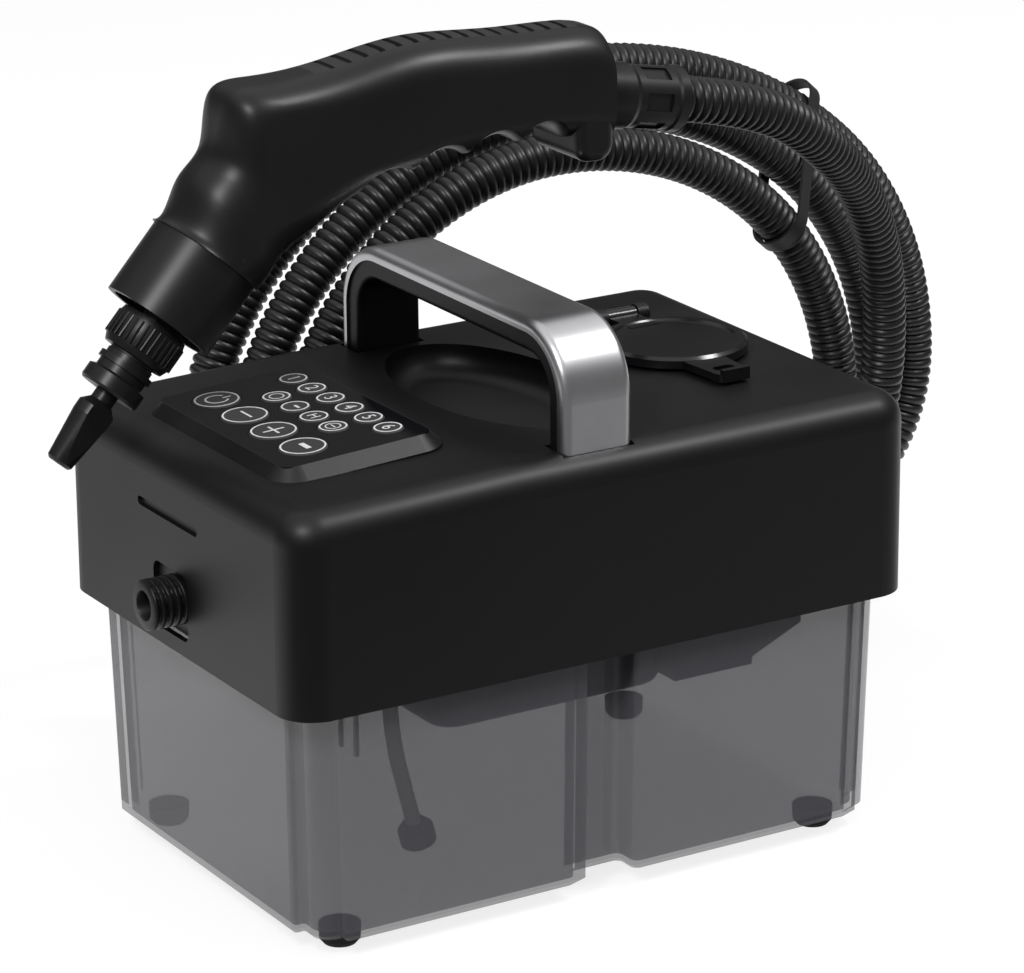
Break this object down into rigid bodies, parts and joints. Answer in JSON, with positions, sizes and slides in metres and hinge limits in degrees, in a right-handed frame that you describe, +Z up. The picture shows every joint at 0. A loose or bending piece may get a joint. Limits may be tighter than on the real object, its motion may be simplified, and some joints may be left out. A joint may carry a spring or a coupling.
{
  "type": "jewelry steam cleaner",
  "caption": "Bench steam cleaner: clear water tank under a black head with keypad, flip filler cover and carry handle, and a steam gun on a coiled corrugated hose.",
  "frame": {"origin": "centre of the machine on the surface it stands on", "axes": "+X along the machine's long side, away from the threaded outlet; +Y to the back; +Z up"},
  "size_m": [0.5008, 0.3163, 0.3126],
  "materials": {
    "housing_black": "satin moulded",
    "key_black": "satin with light ring marks",
    "fascia_gloss": "glossy",
    "smoke_clear": "smoky clear plastic",
    "silver": "satin",
    "rubber_black": "matte",
    "steel": "plain",
    "cast_alloy": "as cast",
    "brass": "plain",
    "board_green": "circuit board",
    "silicone": "matte",
    "grey_plastic": "moulded",
    "gun_black": "satin moulded",
    "hose_black": "corrugated"
  },
  "bodies": {
    "machine": {"upper_housing": "housing_black", "handle_core": "housing_black", "threaded_spigot": "housing_black", "base_tray": "housing_black", "cord_gland": "housing_black", "hose_outlet_gland": "housing_black", "filler_neck": "housing_black", "keypad_fascia": "fascia_gloss", "water_tank": "smoke_clear", "handle_band": "silver", "tank_feet": "rubber_black", "grip_strip": "rubber_black", "tank_seal": "rubber_black", "pump_mounts": "rubber_black", "handle_screws": "steel", "housing_screws": "steel", "gun_screws": "steel", "cover_hinge_pin": "steel", "level_probes": "steel", "steam_pipe": "steel", "heating_element": "steel", "boiler": "cast_alloy", "relief_valve": "brass", "keypad_board": "board_green", "control_board": "board_green", "pump_tubes": "silicone", "steam_tube": "silicone", "gun_tube": "silicone", "pickup_tube": "silicone", "thermostat": "grey_plastic", "pump": "grey_plastic", "inlet_filter": "grey_plastic", "micro_switch": "grey_plastic", "gun_shell_left": "gun_black", "gun_shell_right": "gun_black", "barrel_sleeve": "gun_black", "nozzle_tip": "gun_black", "hose_connector": "gun_black", "hose_lead": "hose_black", "hose_coil": "hose_black", "hose_tail": "hose_black", "hose_tie": "hose_black"},
    "cover": {"filler_cover": "housing_black", "cover_seal": "rubber_black"},
    "collar": {"nozzle_collar": "gun_black"},
    "trigger": {"trigger_button": "gun_black"},
    "key_power": {"key_power": "key_black"},
    "key_minus": {"key_minus": "key_black"},
    "key_plus": {"key_plus": "key_black"},
    "key_steam": {"key_steam": "key_black"},
    "key_mode_1": {"key_mode_1": "key_black"},
    "key_mode_2": {"key_mode_2": "key_black"},
    "key_mode_3": {"key_mode_3": "key_black"},
    "key_mode_4": {"key_mode_4": "key_black"},
    "key_level_1": {"key_level_1": "key_black"},
    "key_level_2": {"key_level_2": "key_black"},
    "key_level_3": {"key_level_3": "key_black"},
    "key_level_4": {"key_level_4": "key_black"},
    "key_level_5": {"key_level_5": "key_black"},
    "key_level_6": {"key_level_6": "key_black"}
  },
  "joints": [
    {"name": "key_power_press", "type": "slide", "parent": "machine", "child": "key_power", "axis": [0.0549, 0, -0.9985], "range_m": [0, 0.0005], "stiffness_N_per_m": 600, "springref_m": -0.0005},
    {"name": "key_minus_press", "type": "slide", "parent": "machine", "child": "key_minus", "axis": [0.0549, 0, -0.9985], "range_m": [0, 0.0005], "stiffness_N_per_m": 600, "springref_m": -0.0005},
    {"name": "key_plus_press", "type": "slide", "parent": "machine", "child": "key_plus", "axis": [0.0549, 0, -0.9985], "range_m": [0, 0.0005], "stiffness_N_per_m": 600, "springref_m": -0.0005},
    {"name": "key_steam_press", "type": "slide", "parent": "machine", "child": "key_steam", "axis": [0.0549, 0, -0.9985], "range_m": [0, 0.0005], "stiffness_N_per_m": 600, "springref_m": -0.0005},
    {"name": "key_mode_1_press", "type": "slide", "parent": "machine", "child": "key_mode_1", "axis": [0.0549, 0, -0.9985], "range_m": [0, 0.0005], "stiffness_N_per_m": 600, "springref_m": -0.0005},
    {"name": "key_mode_2_press", "type": "slide", "parent": "machine", "child": "key_mode_2", "axis": [0.0549, 0, -0.9985], "range_m": [0, 0.0005], "stiffness_N_per_m": 600, "springref_m": -0.0005},
    {"name": "key_mode_3_press", "type": "slide", "parent": "machine", "child": "key_mode_3", "axis": [0.0549, 0, -0.9985], "range_m": [0, 0.0005], "stiffness_N_per_m": 600, "springref_m": -0.0005},
    {"name": "key_mode_4_press", "type": "slide", "parent": "machine", "child": "key_mode_4", "axis": [0.0549, 0, -0.9985], "range_m": [0, 0.0005], "stiffness_N_per_m": 600, "springref_m": -0.0005},
    {"name": "key_level_1_press", "type": "slide", "parent": "machine", "child": "key_level_1", "axis": [0.0549, 0, -0.9985], "range_m": [0, 0.0005], "stiffness_N_per_m": 600, "springref_m": -0.0005},
    {"name": "key_level_2_press", "type": "slide", "parent": "machine", "child": "key_level_2", "axis": [0.0549, 0, -0.9985], "range_m": [0, 0.0005], "stiffness_N_per_m": 600, "springref_m": -0.0005},
    {"name": "key_level_3_press", "type": "slide", "parent": "machine", "child": "key_level_3", "axis": [0.0549, 0, -0.9985], "range_m": [0, 0.0005], "stiffness_N_per_m": 600, "springref_m": -0.0005},
    {"name": "key_level_4_press", "type": "slide", "parent": "machine", "child": "key_level_4", "axis": [0.0549, 0, -0.9985], "range_m": [0, 0.0005], "stiffness_N_per_m": 600, "springref_m": -0.0005},
    {"name": "key_level_5_press", "type": "slide", "parent": "machine", "child": "key_level_5", "axis": [0.0549, 0, -0.9985], "range_m": [0, 0.0005], "stiffness_N_per_m": 600, "springref_m": -0.0005},
    {"name": "key_level_6_press", "type": "slide", "parent": "machine", "child": "key_level_6", "axis": [0.0549, 0, -0.9985], "range_m": [0, 0.0005], "stiffness_N_per_m": 600, "springref_m": -0.0005},
    {"name": "cover_hinge", "type": "hinge", "parent": "machine", "child": "cover", "pos_m": [0.087, 0.042, 0.1816], "axis": [-1, 0, 0], "range_deg": [0, 62]},
    {"name": "collar_turn", "type": "hinge", "parent": "machine", "child": "collar", "pos_m": [-0.13442, 0.02, 0.21301], "axis": [0.6691, 0, 0.7431], "continuous": true},
    {"name": "trigger_press", "type": "slide", "parent": "machine", "child": "trigger", "axis": [-0.6428, 0, 0.766], "range_m": [0, 0.002], "stiffness_N_per_m": 500, "springref_m": -0.001}
  ]
}
